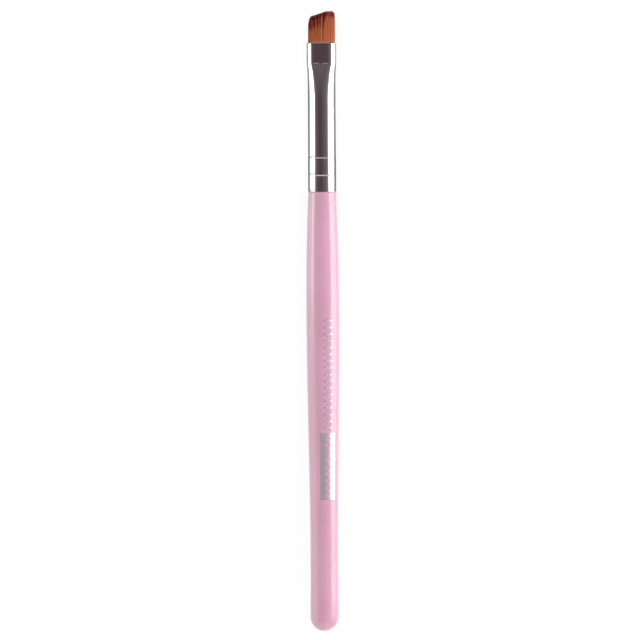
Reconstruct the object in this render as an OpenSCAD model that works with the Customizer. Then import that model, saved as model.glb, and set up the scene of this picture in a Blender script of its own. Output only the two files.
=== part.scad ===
// An angled eyeshadow brush, which lies on the belly of its handle. Y runs along the brush from
// the round butt to the hair, X runs across the flat of the hair, and Z is up. Each piece is
// shaped standing on its butt, with the handle's axis along Z, and laid down at the end.

/* [Handle] */
// Length of the handle that shows, from its round butt to the metal ferrule
handle_len = 116.8; // [95:0.1:140]
// Diameter of the handle at its round butt
butt_d = 7.56; // [7:0.02:8.4]
// Diameter of the handle at its waist, near the butt
waist_d = 7.38; // [6.6:0.02:7.6]
// Distance of the waist from the end of the butt
waist_at = 19.5; // [14:0.1:30]
// Diameter of the handle at its belly, on which it lies
belly_d = 8.77; // [8.5:0.01:11]
// Distance of the belly below the ferrule
belly_below = 33.3; // [26:0.1:45]
// How far the neck of the handle stands proud of the ferrule's foot, on the radius
neck_proud = 0.06; // [0:0.01:0.3]
// Length of the tapered bead of lacquer that closes the neck against the ferrule
bead_len = 0.9; // [0.5:0.05:2]
// How far the bead draws in below the ferrule's foot, on the radius
bead_draw = 0.12; // [0:0.01:0.16]
// Chamfer on the end of the tenon that is glued into the ferrule
tenon_chamfer = 0.6; // [0.3:0.05:1]

/* [Ferrule] */
// Length of the metal ferrule
ferrule_len = 39.15; // [37:0.05:48]
// Diameter of the ferrule's round barrel
barrel_d = 7.24; // [7.1:0.01:7.4]
// How much the skirt below the crimps is wider than the barrel, on the diameter
skirt_swell = 0.1; // [0.04:0.01:0.14]
// Thickness of the drawn metal
wall = 0.3; // [0.2:0.01:0.4]
// Radius of the turned-in edge at the foot of the skirt
edge_r = 0.18; // [0.08:0.01:0.19]
// Width of the flattened mouth, across the flat of the hair
mouth_w = 7.72; // [7.5:0.01:7.74]
// Thickness of the flattened mouth
mouth_t = 4.5; // [3.6:0.05:6]
// Length of the flattened mouth, from its rim to the crease
mouth_len = 5.4; // [3.5:0.1:6.5]
// Length over which the round barrel turns into the flattened mouth
blend_len = 9; // [7:0.1:9.5]

/* [Crimps] */
// Height of the lower crimp above the foot of the ferrule
crimp_low = 4.5; // [3:0.1:6]
// Height of the upper crimp above the foot of the ferrule
crimp_high = 9.1; // [8:0.1:11]
// Width of a crimp along the ferrule
crimp_w = 0.55; // [0.4:0.05:1.4]
// Depth of a crimp
crimp_depth = 0.11; // [0.05:0.01:0.22]

/* [Hair] */
// Length of the hair outside the ferrule at the peak of its angled cut
hair_tall = 8.95; // [6:0.05:12]
// Angle of the cut across the flat of the hair
cut_angle = 17.4; // [0:0.2:26]
// Length of the hair inside the ferrule, down to the glue plug
hair_inside = 16.3; // [15.5:0.1:18]
// Width of each rounded corner of the cut
corner_w = 0.62; // [0.3:0.02:1.2]
// How far each corner of the cut is rounded down
corner_drop = 0.7; // [0.2:0.05:1.2]
// How far the sides of the hair draw in at the cut
side_draw = 0.5; // [0.1:0.05:0.9]
// Thickness of the hair's edge at the cut
edge_t = 1.3; // [0.8:0.05:2.4]
// Depth inside the mouth at which the hair parts into locks
part_depth = 0.8; // [0.4:0.05:1.5]
// How much shorter than the cut a lock may be
ragged = 0.3; // [0:0.02:0.5]
// How much shorter the outer rows of locks are than the middle ones
crown = 0.45; // [0:0.05:1]
// Locks across the flat of the hair
locks_across = 16; // [10:1:18]
// Rows of locks through the thickness of the hair
lock_rows = 6; // [4:1:7]

/* [Glue] */
// Length of the glue plug that bonds the roots of the hair
plug_len = 4; // [2.5:0.1:4.5]
// Free space between the glue plug and the end of the handle's tenon
plug_space = 2.2; // [0.2:0.1:4]
// Clearance of the tenon, the plug and the hair inside the ferrule, on the radius
fit_gap = 0.03; // [0.02:0.01:0.05]

/* [Hidden] */

handle_colour = [0.80, 0.58, 0.68];
metal_colour = [0.74, 0.73, 0.74];
glue_colour = [0.87, 0.78, 0.55];
hair_colour = [0.63, 0.34, 0.21];

// Facets of a full turn
turn = 96;
// Steps of a quarter turn of an outline
arc_steps = 12;
// Steps over one crimp
crimp_steps = 8;
// Steps over the bead of lacquer
bead_steps = 5;
// Length of one step along the handle
handle_step = 2.4;
// Sides of the lofted mouth
loft_sides = 60;
// Rings of the loft between the barrel and the crease
blend_steps = 10;
// How the loft's rings crowd towards the crease, as a power
blend_crowding = 1.25;
// How far the loft laps into the barrel's wall, and how far inside that wall's surfaces it stays
lap = 0.4;
seam = 0.012;
// The handle narrows from its belly to its neck as this power of the distance
neck_power = 2.3;
// The mouth's width flares only near the crease, as this power of the distance
flare_power = 5;
// The mouth's thickness is pressed in along the whole blend, as this power of the distance
press_power = 1.5;
// The sides of the hair draw in only near the cut, as this power of the height
draw_power = 8;
// The hair thins to its edge as this power of the height
taper_power = 1.8;
// Share of its cell that a lock loses evenly along its length, and the share lost near its tip
lock_thin = 0.16;
lock_point = 0.34;
// Length of a lock's blunt tip
lock_tip = 0.12;
// Heights of the rings of a lock, as shares of its length
lock_levels = [0.2, 0.45, 0.68, 0.88, 1];
// Zigzag of the cell walls that makes the rows of locks a honeycomb, as a share of a row
zigzag = 0.2;
// Seed of the uneven lengths of the locks
ragged_seed = 11;
// Heights along the whole brush, from the end of the butt
rim_z = handle_len + ferrule_len;
total_len = rim_z + hair_tall;
belly_z = handle_len - belly_below;
bead_z = handle_len - bead_len;
// Heights above the foot of the ferrule
crease_h = ferrule_len - mouth_len;
round_h = crease_h - blend_len;
plug_top_h = ferrule_len - hair_inside;
tenon_len = plug_top_h - plug_len - plug_space;
// Radii of the round parts
butt_r = butt_d / 2;
barrel_r = barrel_d / 2;
skirt_r = (barrel_d + skirt_swell) / 2;
neck_r = skirt_r + neck_proud;
// Half width and half thickness of the hair where it leaves the mouth
hair_w = mouth_w / 2 - wall - fit_gap;
hair_t = mouth_t / 2 - wall - fit_gap;

// Radius of the handle at a distance z from the end of its butt
function handle_r(z) =
    z < waist_at ? ease(butt_d, waist_d, (z - butt_r) / (waist_at - butt_r)) / 2 :
    z < belly_z ? ease(waist_d, belly_d, (z - waist_at) / (belly_z - waist_at)) / 2 :
    belly_d / 2 - (belly_d / 2 - neck_r) * pow((z - belly_z) / (bead_z - belly_z), neck_power);

// A smooth step from a to b while t goes from 0 to 1
function ease(a, b, t) = a + (b - a) * (1 - cos(180 * t)) / 2;

// Outer radius of the round part of the ferrule at a height h above its foot
function metal_r(h) =
    (h < crimp_high ? skirt_r : barrel_r) - crimp_dip(h - crimp_low) - crimp_dip(h - crimp_high);

// Depth of a crimp at a distance d from its middle
function crimp_dip(d) =
    abs(d) < crimp_w / 2 ? crimp_depth * (1 + cos(360 * d / crimp_w)) / 2 : 0;

// Heights at which the two crimps need a point, from the foot upwards
crimp_heights = [
    for (middle = [crimp_low, crimp_high])
        for (k = [0:crimp_steps])
            middle + crimp_w * (k / crimp_steps - 0.5)
];

// Points of the metal's outline between two heights, moved in by an inset
function metal_line(from, to, inset) = [
    [metal_r(from) - inset, from],
    for (h = crimp_heights) if (h > from && h < to) [metal_r(h) - inset, h],
    [metal_r(to) - inset, to]
];

// Half width and half thickness of the ferrule at a height h, from the barrel to its rim
function section(h) =
    let (t = min(max((crease_h - h) / blend_len, 0), 1))
    [
        barrel_r + (mouth_w / 2 - barrel_r) * pow(1 - t, flare_power),
        barrel_r - (barrel_r - mouth_t / 2) * pow(1 - t, press_power)
    ];

// How much wider than thick the hair is where it leaves the mouth, on the half width
hair_flat = hair_w - hair_t;

// A point of a section with flat sides and round edges. The first argument is its half width and
// half thickness, and the second is the angle that the point had on the round tube.
function pressed(half, angle) =
    let (
        round_r = half[1],
        flat = half[0] - round_r,
        arc = PI / 2 * round_r,
        quarter = floor(angle / 90),
        rise = quarter % 2 == 0 ? angle - 90 * quarter : 90 * (quarter + 1) - angle,
        run = rise / 90 * (flat + arc),
        bend = min(run / arc, 1) * 90,
        across = flat + round_r * cos(bend) - max(run - arc, 0)
    )
    [quarter == 0 || quarter == 3 ? across : -across, (quarter < 2 ? 1 : -1) * round_r * sin(bend)];

// Heights of the blend from the barrel up to the crease, closer together near the crease
blend_heights = [
    for (k = [blend_steps:-1:0]) crease_h - blend_len * pow(k / blend_steps, blend_crowding)
];

// Heights of the rings of the lofted metal; the first two lie within the barrel's wall
loft_heights = concat([round_h - lap], blend_heights, [ferrule_len]);

// Height of the cut above the rim at u, from -1 on the short side to 1 on the tall side
function cut_h(u) =
    let (corner_u = 1 - corner_w / hair_w)
    hair_tall
    - max(corner_u - u, 0) * hair_w * tan(cut_angle)
    - corner_drop * pow(max(abs(u) - corner_u, 0) / (1 - corner_u), 2);

// A point of the hair: u goes across the flat, v through the thickness, z up from the rim
function hair_point(u, v, z) =
    let (
        s = max(z, 0) / cut_h(u),
        inside = section(ferrule_len + min(z, 0)),
        half_w = inside[0] - wall - fit_gap,
        half_t = inside[1] - wall - fit_gap,
        drawn_w = half_w * (1 - side_draw / hair_w * pow(s, draw_power) * pow(u, 4)),
        thin_t = half_t * (1 - (1 - edge_t / 2 / hair_t) * pow(s, taper_power)),
        flatness = min((half_w - half_t) / hair_flat, 1),
        flat_point = [u * (drawn_w - thin_t * (1 - sqrt(1 - v * v))), v * thin_t],
        round_point = [drawn_w * u * sqrt(1 - v * v / 2), thin_t * v * sqrt(1 - u * u / 2)],
        point = flatness * flat_point + (1 - flatness) * round_point
    )
    [point[0], point[1], rim_z + z];

module handle() {
    round_butt = [
        for (k = [0:arc_steps])
            let (a = 90 * k / arc_steps)
            [butt_r * sin(a), butt_r * (1 - cos(a))]
    ];
    steps = ceil((bead_z - butt_r) / handle_step);
    body = [
        for (k = [1:steps])
            let (z = butt_r + (bead_z - butt_r) * k / steps)
            [handle_r(z), z]
    ];
    bead = [
        for (k = [1:bead_steps])
            let (a = 90 * k / bead_steps)
            [neck_r - (neck_proud + bead_draw) * (1 - cos(a)), bead_z + bead_len * sin(a)]
    ];
    tenon_line = metal_line(0, tenon_len - tenon_chamfer, wall + fit_gap);
    tenon = [for (p = tenon_line) [p[0], handle_len + p[1]]];
    tenon_end = [tenon[len(tenon) - 1][0] - tenon_chamfer, handle_len + tenon_len];
    color(handle_colour)
        rotate_extrude($fn = turn)
            polygon(concat(round_butt, body, bead, tenon, [tenon_end, [0, tenon_end[1]]]));
}

module ferrule() {
    color(metal_colour)
        translate([0, 0, handle_len]) {
            barrel();
            flat_mouth();
        }
}

// The round tube with its turned-in foot and its two crimps
module barrel() {
    foot = [
        for (k = [1:arc_steps / 2])
            let (a = 180 * k / arc_steps)
            [skirt_r - edge_r * (1 - sin(a)), edge_r * (1 - cos(a))]
    ];
    outside = metal_line(edge_r, round_h, 0);
    inside = metal_line(0, round_h, wall);
    wall_ring = concat(
        [[skirt_r - edge_r, 0]],
        foot,
        [for (k = [1:len(outside) - 1]) outside[k]],
        [for (k = [len(inside) - 1:-1:0]) inside[k]]
    );
    rotate_extrude($fn = turn) polygon(wall_ring);
}

// The loft from the round barrel to the flattened mouth, as one wall of even thickness
module flat_mouth() {
    rings = len(loft_heights);
    n = loft_sides;
    outer = [for (k = [0:rings - 1]) each loft_ring(loft_heights[k], k < 2 ? -seam : 0)];
    inner = [for (k = [0:rings - 1]) each loft_ring(loft_heights[k], k < 2 ? seam - wall : -wall)];
    first_inner = rings * n;
    sides = [
        for (k = [0:rings - 2])
            for (i = [0:n - 1])
                let (
                    a = k * n + i,
                    b = k * n + (i + 1) % n,
                    c = b + n,
                    d = a + n,
                    ai = a + first_inner,
                    bi = b + first_inner,
                    ci = c + first_inner,
                    di = d + first_inner
                )
                each [[a, c, b], [a, d, c], [ai, bi, ci], [ai, ci, di]]
    ];
    ends = [
        for (i = [0:n - 1])
            let (
                a = i,
                b = (i + 1) % n,
                top = (rings - 1) * n
            )
            each [
                [a, b, b + first_inner],
                [a, b + first_inner, a + first_inner],
                [top + a, top + b + first_inner, top + b],
                [top + a, top + a + first_inner, top + b + first_inner]
            ]
    ];
    polyhedron(points = concat(outer, inner), faces = concat(sides, ends), convexity = 4);
}

// One ring of the loft at a height above the foot, grown by an amount all round
function loft_ring(h, grow) =
    let (half = section(h) + [grow, grow])
    [
        for (i = [0:loft_sides - 1])
            let (p = pressed(half, 360 * i / loft_sides))
            [p[0], p[1], h]
    ];

module glue_plug() {
    bore_r = section(plug_top_h)[1] - wall;
    color(glue_colour)
        translate([0, 0, handle_len + plug_top_h - plug_len])
            cylinder(r = bore_r - fit_gap, h = plug_len, $fn = turn);
}

// The hair is one closed skin. Inside the ferrule it is a solid bundle; above the parting depth
// its top divides into honeycomb cells, and each cell rises as a thinning lock with a blunt tip.
module bristle_tuft() {
    last_i = 2 * locks_across;
    grid = [
        for (j = [0:lock_rows])
            for (i = [0:last_i])
                grid_point([i, j], -part_depth)
    ];
    edge = concat(
        [for (i = [0:last_i - 1]) [i, 0]],
        [for (j = [0:lock_rows - 1]) [last_i, j]],
        [for (i = [last_i:-1:1]) [i, lock_rows]],
        [for (j = [lock_rows:-1:1]) [0, j]]
    );
    edge_count = len(edge);
    // Rings of the bundle inside the ferrule, from the parting depth down to the glue
    bundle_z = concat(
        [-mouth_len],
        [
            for (k = [blend_steps - 2:-2:0])
                let (z = blend_heights[k] - ferrule_len)
                if (z > -hair_inside) z
        ],
        [-hair_inside]
    );
    bundle = [for (z = bundle_z) for (e = edge) grid_point(e, z)];
    first_bundle = len(grid);
    bundle_rings = len(bundle_z);
    top_ring = [for (e = edge) grid_index(e)];
    ring_start = [for (r = [0:bundle_rings - 1]) first_bundle + r * edge_count];
    bundle_sides = [
        for (r = [0:bundle_rings - 1])
            for (k = [0:edge_count - 1])
                let (
                    m = (k + 1) % edge_count,
                    a = r == 0 ? top_ring[k] : ring_start[r - 1] + k,
                    b = r == 0 ? top_ring[m] : ring_start[r - 1] + m,
                    c = ring_start[r] + m,
                    d = ring_start[r] + k
                )
                each [[a, b, c], [a, c, d]]
    ];
    last_ring = ring_start[bundle_rings - 1];
    bundle_end = [for (k = [1:edge_count - 2]) [last_ring, last_ring + k, last_ring + k + 1]];
    cells = [for (j = [0:lock_rows - 1]) each row_cells(j, last_i)];
    shorter = rands(0, ragged, len(cells), ragged_seed);
    levels = len(lock_levels);
    // Each lock adds a ring of six or four points at every level and one at its tip
    lock_size = [for (c = cells) len(c) * levels + 1];
    first_lock = first_bundle + len(bundle);
    starts = running_sum(lock_size, first_lock);
    lock_points = [for (n = [0:len(cells) - 1]) each lock_rings(cells[n], shorter[n])];
    lock_faces = [
        for (n = [0:len(cells) - 1])
            each lock_skin([for (p = cells[n]) grid_index(p)], starts[n])
    ];
    color(hair_colour)
        polyhedron(
            points = concat(grid, bundle, lock_points),
            faces = concat(bundle_sides, bundle_end, lock_faces),
            convexity = 10
        );
}

// Place of a grid corner across the flat, from -1 to 1
function grid_u(p) = p[0] / locks_across - 1;

// Place of a grid corner through the thickness, pushed up and down in turn inside the bundle
function grid_v(p) =
    let (
        inner = p[1] > 0 && p[1] < lock_rows && p[0] > 0 && p[0] < 2 * locks_across,
        push = (p[0] + p[1]) % 2 == 0 ? zigzag : -zigzag
    )
    2 * (p[1] + (inner ? push : 0)) / lock_rows - 1;

// A grid corner in space, and its index among the points of the hair
function grid_point(p, z) = hair_point(grid_u(p), grid_v(p), z);

function grid_index(p) = p[1] * (2 * locks_across + 1) + p[0];

// The cells of row j, as lists of grid corners; every second row starts with half a cell
function row_cells(j, last_i) =
    [
        for (i = [j % 2 == 0 ? 0 : -1:2:last_i - 1])
            let (
                left = max(i, 0),
                right = min(i + 2, last_i)
            )
            concat(
                [for (k = [left:right]) [k, j]],
                [for (k = [right:-1:left]) [k, j + 1]]
            )
    ];

// The rings of one lock and its tip: the cell shrinks towards its middle while it rises
function lock_rings(cell, short) =
    let (
        u_list = [for (p = cell) grid_u(p)],
        v_list = [for (p = cell) grid_v(p)],
        u_mid = mean(u_list),
        v_mid = mean(v_list),
        at_peak = abs(u_mid - 1 + corner_w / hair_w) < 1 / locks_across,
        shortfall = (at_peak ? 0 : short) + crown * v_mid * v_mid,
        rise = cut_h(u_mid) + part_depth - shortfall - lock_tip
    )
    [
        for (q = lock_levels)
            let (keep = 1 - lock_thin * q - lock_point * pow(q, 4))
            for (k = [0:len(cell) - 1])
                hair_point(
                    u_mid + (u_list[k] - u_mid) * keep,
                    v_mid + (v_list[k] - v_mid) * keep,
                    q * rise - part_depth
                ),
        hair_point(u_mid, v_mid, rise + lock_tip - part_depth)
    ];

// The faces of one lock, from its cell on the grid to its tip
function lock_skin(cell, start) =
    let (
        n = len(cell),
        levels = len(lock_levels)
    )
    [
        for (r = [0:levels - 1])
            for (k = [0:n - 1])
                let (
                    m = (k + 1) % n,
                    a = r == 0 ? cell[k] : start + (r - 1) * n + k,
                    b = r == 0 ? cell[m] : start + (r - 1) * n + m,
                    c = start + r * n + m,
                    d = start + r * n + k
                )
                each [[a, c, b], [a, d, c]],
        for (k = [0:n - 1])
            [start + (levels - 1) * n + k, start + levels * n, start + (levels - 1) * n + (k + 1) % n]
    ];

function mean(list) = total(list, len(list) - 1) / len(list);

function total(list, last) = last < 0 ? 0 : list[last] + total(list, last - 1);

// The first index of each run when runs of the given sizes follow one another
function running_sum(sizes, first) = [
    for (k = 0, at = first; k < len(sizes); at = at + sizes[k], k = k + 1) at
];

// Lays a piece down along Y on the handle's belly, with the hair's front upwards
module lie() {
    translate([0, -total_len / 2, belly_d / 2]) rotate([-90, 0, 0]) children();
}

lie() handle();
lie() ferrule();
lie() glue_plug();
lie() bristle_tuft();
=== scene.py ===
"""The look of an angled eyeshadow brush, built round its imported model.

Sizes are in millimetres unless a name says otherwise. "Along" is the distance from the end of the
round butt towards the hair, "across" runs over the flat of the hair towards its tall side, and
"up" is the height above the brush's axis.
"""

import logging
import math
import random
from dataclasses import dataclass
from enum import Enum

import bmesh
import bpy
from mathutils import Matrix, Vector


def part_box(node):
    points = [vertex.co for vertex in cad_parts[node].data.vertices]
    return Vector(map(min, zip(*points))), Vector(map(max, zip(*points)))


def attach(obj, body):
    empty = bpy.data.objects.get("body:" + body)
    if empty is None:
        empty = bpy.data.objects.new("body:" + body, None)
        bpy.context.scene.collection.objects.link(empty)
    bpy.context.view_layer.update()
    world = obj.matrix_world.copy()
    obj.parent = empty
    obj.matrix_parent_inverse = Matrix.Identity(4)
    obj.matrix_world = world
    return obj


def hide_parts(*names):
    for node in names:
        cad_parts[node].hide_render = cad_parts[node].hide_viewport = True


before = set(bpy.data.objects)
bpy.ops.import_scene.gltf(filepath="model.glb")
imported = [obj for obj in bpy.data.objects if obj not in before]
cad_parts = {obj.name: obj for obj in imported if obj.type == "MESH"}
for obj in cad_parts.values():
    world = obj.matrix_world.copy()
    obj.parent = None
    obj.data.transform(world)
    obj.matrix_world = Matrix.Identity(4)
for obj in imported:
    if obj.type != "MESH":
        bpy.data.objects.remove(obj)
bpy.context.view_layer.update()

MM = 0.001
FULL_TURN = 2 * math.pi
BODY = "root"
log = logging.getLogger("brush")

Colour = tuple[float, float, float]


class Node(Enum):
    """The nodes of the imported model."""

    HANDLE = "handle"
    FERRULE = "ferrule"
    GLUE = "glue_plug"
    HAIR = "bristle_tuft"


class Slot(Enum):
    """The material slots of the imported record."""

    LACQUER = "lacquered_wood"
    METAL = "polished_metal"
    RESIN = "cured_resin"
    HAIR = "synthetic_hair"


class Side(Enum):
    """The two sides of the brush, across the flat of the hair."""

    TALL = 1
    SHORT = -1


class Rays(Enum):
    """What a lamp is seen by."""

    GLOSS = "gloss alone"
    MATT = "all but gloss"


def ease(start: float, end: float, share: float) -> float:
    """Steps smoothly from one value to another.

    Args:
        start: The value at a share of 0.
        end: The value at a share of 1.
        share: How far the step has gone, from 0 to 1.

    Returns:
        The value at that share.
    """
    return start + (end - start) * (1 - math.cos(math.pi * share)) / 2


def bump(offset: float, width: float) -> float:
    """Gives a smooth hill of height 1.

    Args:
        offset: The distance from the middle of the hill.
        width: The hill's full width.

    Returns:
        The height there, which is 0 beside the hill.
    """
    if abs(offset) >= width / 2:
        return 0.0
    return (1 + math.cos(FULL_TURN * offset / width)) / 2


def spaced(start: float, end: float, steps: int) -> list[float]:
    """Divides a stretch evenly, with both of its ends."""
    return [start + (end - start) * k / steps for k in range(steps + 1)]


class Num:
    """A shader value; arithmetic on it adds Math nodes to its tree."""

    def __init__(self, tree: "Tree", socket: bpy.types.NodeSocket) -> None:
        """Wraps a socket that gives one number."""
        self.tree = tree
        self.socket = socket

    def math(self, operation: str, *others: "Num | float") -> "Num":
        """Adds one Math node.

        Args:
            operation: The Math node's operation.
            others: Its inputs after this value.

        Returns:
            The node's result.
        """
        values = dict(enumerate((self, *others)))
        return self.tree.value("ShaderNodeMath", {"operation": operation}, values)

    def __add__(self, other: "Num | float") -> "Num":
        """Adds."""
        return self.math("ADD", other)

    __radd__ = __add__

    def __mul__(self, other: "Num | float") -> "Num":
        """Multiplies."""
        return self.math("MULTIPLY", other)

    __rmul__ = __mul__

    def __sub__(self, other: "Num | float") -> "Num":
        """Subtracts a value from this one."""
        return self.math("SUBTRACT", other)

    def __rsub__(self, other: float) -> "Num":
        """Subtracts this value from a number."""
        return self * -1 + other

    def __abs__(self) -> "Num":
        """Drops the sign."""
        return self.math("ABSOLUTE")

    def between(self, low: float, high: float) -> "Num":
        """Steps smoothly from 0 to 1.

        Args:
            low: The value up to which the result is 0.
            high: The value from which it is 1.

        Returns:
            The step's result.
        """
        settings = {"interpolation_type": "SMOOTHSTEP"}
        sockets = {"Value": self, "From Min": low, "From Max": high}
        return self.tree.value("ShaderNodeMapRange", settings, sockets)


class Tree:
    """A node tree that is written as expressions."""

    def __init__(self, tree: bpy.types.NodeTree) -> None:
        """Empties a node tree so that it can be built afresh."""
        self.tree = tree
        tree.nodes.clear()

    def add(
        self, kind: str, settings: dict | None = None, sockets: dict | None = None,
    ) -> bpy.types.Node:
        """Adds a node.

        Args:
            kind: The node's type.
            settings: Its own properties, which are set first.
            sockets: A value or a link for each input, by name or by index.

        Returns:
            The new node.
        """
        node = self.tree.nodes.new(kind)
        for name, value in (settings or {}).items():
            if name == "stops":
                self.set_stops(node.color_ramp, value)
            else:
                setattr(node, name, value)
        for name, value in (sockets or {}).items():
            self.feed(node.inputs[name], value)
        return node

    @staticmethod
    def set_stops(ramp: bpy.types.ColorRamp, stops: list[tuple[float, Colour]]) -> None:
        """Gives a colour ramp its stops.

        Args:
            ramp: The ramp, which has its first and last stop already.
            stops: The place from 0 to 1 and the colour of each stop.
        """
        for place, _ in stops[1:-1]:
            ramp.elements.new(place)
        for element, (place, colour) in zip(ramp.elements, stops):
            element.position = place
            element.color = (*colour, 1.0)

    def feed(self, socket: bpy.types.NodeSocket, value: object) -> None:
        """Links or sets one input socket.

        Args:
            socket: The input.
            value: A link, a number or a colour.
        """
        if isinstance(value, Num):
            value = value.socket
        if isinstance(value, bpy.types.NodeSocket):
            self.tree.links.new(value, socket)
        elif socket.type == "RGBA" and len(value) == 3:
            socket.default_value = (*value, 1.0)
        else:
            socket.default_value = value

    def value(
        self, kind: str, settings: dict | None = None, sockets: dict | None = None,
        out: int | str = 0,
    ) -> Num:
        """Adds a node and gives one of its outputs as a number."""
        return Num(self, self.add(kind, settings, sockets).outputs[out])

    def mix(self, share: Num | float, low: object, high: object) -> bpy.types.NodeSocket:
        """Mixes two colours.

        Args:
            share: How much of the second colour is used.
            low: The first colour, or a link.
            high: The second colour, or a link.

        Returns:
            The mixed colour's socket.
        """
        sockets = {0: share, 6: low, 7: high}
        return self.add("ShaderNodeMix", {"data_type": "RGBA"}, sockets).outputs[2]

    def place(self, stretch: tuple[float, float, float] = (1.0, 1.0, 1.0)) -> bpy.types.NodeSocket:
        """Gives the place on the object.

        Args:
            stretch: The length that one millimetre counts for, along each axis.

        Returns:
            The socket with the place in millimetres.
        """
        where = self.add("ShaderNodeTexCoord").outputs["Object"]
        scale = tuple(factor / MM for factor in stretch)
        return self.add("ShaderNodeMapping", None, {"Vector": where, "Scale": scale}).outputs[0]

    def axis(self, name: str) -> Num:
        """Gives the place on the object along the axis X, Y or Z, in millimetres."""
        return self.value("ShaderNodeSeparateXYZ", None, {0: self.place()}, name)

    def attribute(self, name: str) -> Num:
        """Gives a number that the mesh carries at each of its points."""
        return self.value("ShaderNodeAttribute", {"attribute_name": name}, None, "Fac")

    def noise(self, where: object, scale: float, detail: float) -> Num:
        """Adds a noise.

        Args:
            where: The place that it is read at.
            scale: The number of blotches to a unit.
            detail: How many finer layers it has.

        Returns:
            The noise, from 0 to 1.
        """
        sockets = {"Vector": where, "Scale": scale, "Detail": detail}
        return self.value("ShaderNodeTexNoise", None, sockets)

    def relief(self, height: Num, depth: float, strength: float) -> bpy.types.NodeSocket:
        """Turns a height into a bumped normal.

        Args:
            height: The height, from 0 to 1.
            depth: What a height of 1 stands for, in millimetres.
            strength: How much of the bump shows.

        Returns:
            The normal's socket.
        """
        sockets = {"Height": height, "Distance": depth * MM, "Strength": strength}
        return self.add("ShaderNodeBump", None, sockets).outputs[0]


def new_material(name: str) -> tuple[bpy.types.Material, Tree]:
    """Makes an empty material.

    Args:
        name: The material's name.

    Returns:
        The material and its node tree.
    """
    material = bpy.data.materials.new(name)
    material.use_nodes = True
    return material, Tree(material.node_tree)


def finish_surface(tree: Tree, sockets: dict) -> None:
    """Ends a material in a Principled shader with the given inputs."""
    shader = tree.add("ShaderNodeBsdfPrincipled", None, sockets)
    tree.add("ShaderNodeOutputMaterial", None, {"Surface": shader.outputs[0]})


@dataclass(frozen=True)
class PinkLacquer:
    """Glossy pink lacquer that has flowed out over turned wood."""

    colour: Colour = (0.655, 0.232, 0.392)
    deep_colour: Colour = (0.625, 0.212, 0.362)
    roughness: float = 0.6
    specular: float = 1.0
    specular_tint: Colour = (0.5, 1.0, 0.82)
    coat_roughness: float = 0.12
    coat_ior: float = 1.5
    ior: float = 1.8
    sheen: float = 1.0
    sheen_roughness: float = 0.45
    sheen_tint: Colour = (1.0, 0.94, 0.97)
    speck_colour: Colour = (0.8, 0.62, 0.7)
    speck_share: float = 0.12
    specks_per_mm: float = 9.0
    cloud_size: float = 6.0
    cloud_roughness: float = 0.06
    flow_size: float = 1.1
    flow_depth: float = 0.0016

    def material(self) -> bpy.types.Material:
        """Makes the lacquer's material.

        Returns:
            The material.
        """
        material, tree = new_material("pink_lacquer")
        place = tree.place()
        cloud = tree.noise(place, 1 / self.cloud_size, 3.0).between(0.3, 0.7)
        flow = tree.noise(tree.place((1, 0.5, 1)), 1 / self.flow_size, 2.0)
        speck = tree.noise(place, self.specks_per_mm, 1.0).between(0.72, 0.8)
        colour = tree.mix(cloud, self.deep_colour, self.colour)
        finish_surface(tree, {
            "Base Color": tree.mix(speck * self.speck_share, colour, self.speck_colour),
            "Roughness": self.roughness + cloud * self.cloud_roughness,
            "Specular IOR Level": self.specular,
            "Specular Tint": self.specular_tint,
            "Coat Weight": 1.0,
            "Coat Roughness": self.coat_roughness,
            "Coat IOR": self.coat_ior,
            "IOR": self.ior,
            "Sheen Weight": self.sheen,
            "Sheen Roughness": self.sheen_roughness,
            "Sheen Tint": self.sheen_tint,
            "Normal": tree.relief(flow, self.flow_depth, 1.0),
        })
        return material


@dataclass(frozen=True)
class PolishedMetal:
    """Bright drawn metal with faint lengthwise draw marks, and a painted reflection: a brown tint on
    the lip and just below the rim that stands for the hair it mirrors.
    """

    layout: "Layout"
    colour: Colour = (0.93, 0.915, 0.91)
    haze_colour: Colour = (0.86, 0.84, 0.835)
    hazes_per_mm: float = 0.35
    # Near black, so the metal goes dark at grazing angles: painted dark outlines that stand for the
    # shade the metal mirrors.
    edge_tint: Colour = (0.04, 0.04, 0.045)
    roughness: float = 0.05
    mark_width: float = 0.12
    mark_depth: float = 0.0001
    # Painted reflection of the hair: a brown tint on the last of the lip, and another just below the
    # rim across the flat.
    lip: Colour = (0.55, 0.33, 0.26)
    lip_reflection_len: float = 0.1
    painted_hair_reflection: Colour = (0.55, 0.32, 0.24)
    painted_reflection_len: float = 0.4
    painted_reflection_half_w: tuple[float, float] = (2.2, 3.0)

    def material(self) -> bpy.types.Material:
        """Makes the metal's material.

        Returns:
            The material.
        """
        material, tree = new_material("polished_metal")
        rim = self.layout.point(0.0, self.layout.rim, 0.0).y / MM
        along = tree.axis("Y")
        # Where the painted reflection of the hair lies: below the rim, and across the flat only.
        painted_reflection_mask = along.between(rim - self.painted_reflection_len, rim - self.painted_reflection_len / 2)
        painted_reflection_mask = painted_reflection_mask * (1 - abs(tree.axis("X")).between(*self.painted_reflection_half_w))
        lip_reflection_mask = along.between(rim - self.lip_reflection_len, rim - self.lip_reflection_len / 2)
        # The painted reflection's colour, with the lip's colour on the lip itself.
        edge = tree.mix(lip_reflection_mask, self.painted_hair_reflection, self.lip)
        marks = tree.noise(tree.place((1, 0.03, 1)), 1 / self.mark_width, 2.0)
        haze = tree.noise(tree.place(), self.hazes_per_mm, 3.0).between(0.35, 0.75)
        hazy = tree.mix(haze * 0.5, self.colour, self.haze_colour)
        finish_surface(tree, {
            "Base Color": tree.mix(painted_reflection_mask, hazy, edge),
            "Metallic": 1.0,
            "Specular Tint": self.edge_tint,
            "Roughness": self.roughness + haze * 0.04 + marks.between(0.5, 0.8) * 0.02,
            "Normal": tree.relief(marks, self.mark_depth, 0.6),
        })
        return material


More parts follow.
